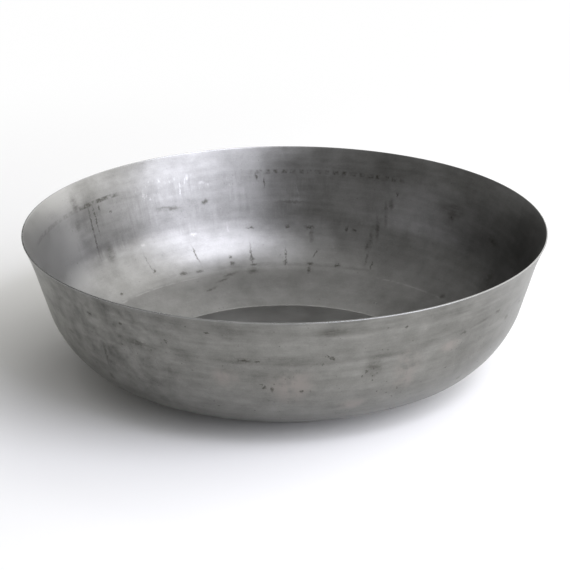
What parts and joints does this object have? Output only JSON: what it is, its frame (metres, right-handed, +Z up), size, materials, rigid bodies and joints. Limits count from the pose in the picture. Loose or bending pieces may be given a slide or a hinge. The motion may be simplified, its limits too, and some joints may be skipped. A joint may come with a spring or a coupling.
{
  "type": "gold pan",
  "caption": "Deep round one-piece pressed steel pan with a flat floor, a dished band, steep flared walls and a bare cut rim, for washing gravel to find gold.",
  "frame": {"origin": "centre of the underside of the flat base, which the pan stands on", "axes": "+Z up along the pan's axis of symmetry, towards the open mouth; +X and +Y level, alike all round"},
  "size_m": [0.4, 0.4, 0.1125],
  "materials": {
    "raw_steel": "raw drawn sheet steel, satin, with faint draw lines, handling scratches and thin brown grime"
  },
  "bodies": {
    "root": {"pan_shell": "raw_steel"}
  },
  "joints": []
}
